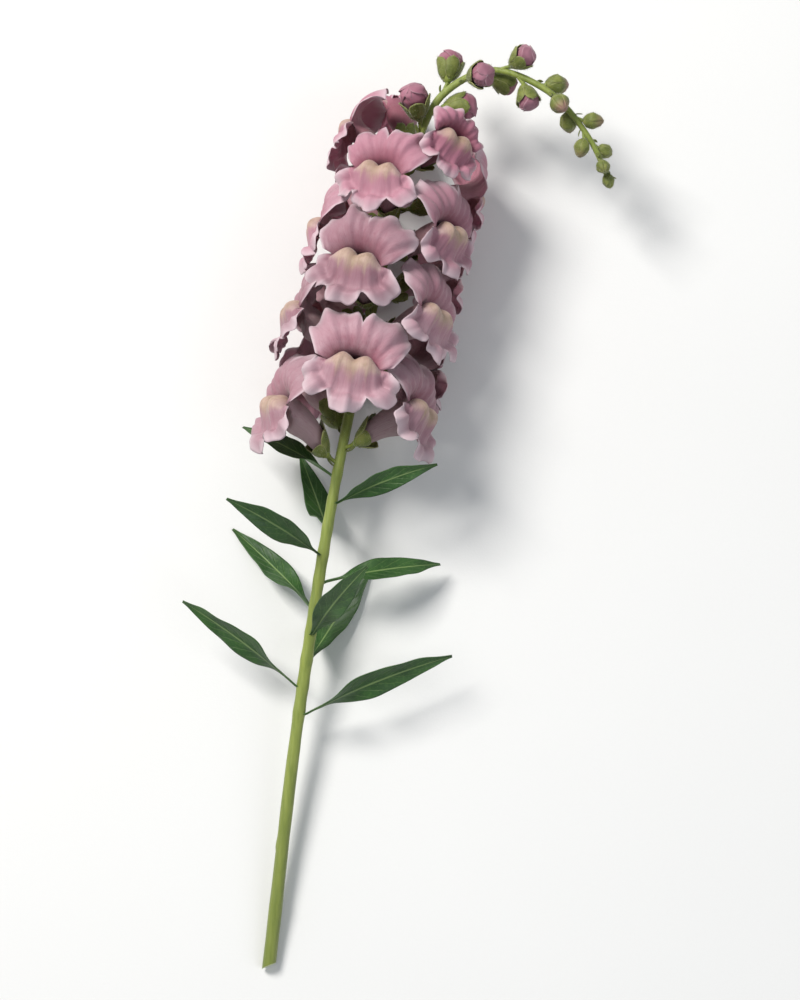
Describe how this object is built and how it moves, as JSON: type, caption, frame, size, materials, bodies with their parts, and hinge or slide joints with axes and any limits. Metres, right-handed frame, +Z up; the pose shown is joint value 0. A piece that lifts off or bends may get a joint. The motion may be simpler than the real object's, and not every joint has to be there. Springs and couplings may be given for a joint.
{
  "type": "cut snapdragon stem",
  "caption": "Single cut snapdragon stem laid on its side, with a dense spike of two-lipped mauve-pink florets, a nodding tip of green buds and narrow leaves.",
  "frame": {"origin": "centre of the footprint box, on the table surface that the stem lies on", "axes": "+Y from the cut end towards the flower spike, +Z up from the table, +X to the side that the soft tip nods to"},
  "size_m": [0.2014, 0.4306, 0.0803],
  "materials": {
    "petal": "matt velvety petal, dusty mauve-pink with pale rims",
    "young_petal": "matt velvety petal, brighter pink of newly opened florets and buds",
    "stem_green": "soft yellow-green stem and downy sepals",
    "leaf_green": "satin dark green leaf"
  },
  "bodies": {
    "root": {"stem": "stem_green", "floret_01": "petal", "floret_02": "petal", "floret_03": "petal", "floret_04": "petal", "floret_05": "petal", "floret_06": "petal", "floret_07": "petal", "floret_08": "petal", "floret_09": "petal", "floret_10": "petal", "floret_11": "petal", "floret_12": "petal", "floret_13": "petal", "floret_14": "petal", "floret_15": "petal", "floret_16": "petal", "opening_floret_01": "young_petal", "opening_floret_02": "young_petal", "bud_01": "young_petal", "bud_02": "young_petal", "bud_03": "young_petal", "bud_04": "young_petal", "bud_05": "young_petal", "bud_06": "young_petal", "bud_07": "young_petal", "leaf_01": "leaf_green", "leaf_02": "leaf_green", "leaf_03": "leaf_green", "leaf_04": "leaf_green", "leaf_05": "leaf_green", "leaf_06": "leaf_green", "leaf_07": "leaf_green", "leaf_08": "leaf_green", "leaf_09": "leaf_green", "leaf_10": "leaf_green"}
  },
  "joints": []
}
